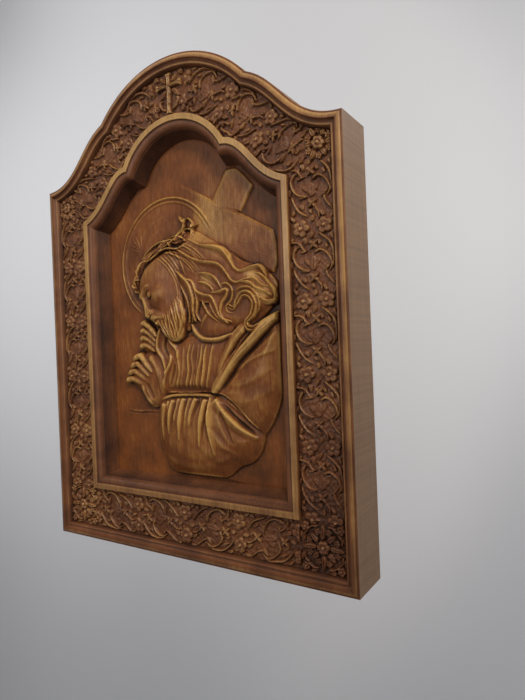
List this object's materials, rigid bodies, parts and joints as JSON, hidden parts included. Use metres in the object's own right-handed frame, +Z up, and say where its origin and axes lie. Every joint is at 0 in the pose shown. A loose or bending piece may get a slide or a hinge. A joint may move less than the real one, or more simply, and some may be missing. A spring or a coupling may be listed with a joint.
{
  "type": "carved wooden icon",
  "caption": "Carved wooden wall icon with an arched top, a moulded frame carved with flowering vines, and a deep-set relief panel of a bowed half figure before a cross.",
  "frame": {"origin": "centre of the flat back face of the frame's top rail, where the icon hangs on the wall", "axes": "+X to the right as seen from the front, +Y out of the back into the wall, +Z up"},
  "size_m": [0.3, 0.039, 0.401],
  "materials": {
    "frame_wood": "satin",
    "panel_wood": "satin"
  },
  "bodies": {
    "root": {"frame": "frame_wood", "relief_panel": "panel_wood"}
  },
  "joints": []
}
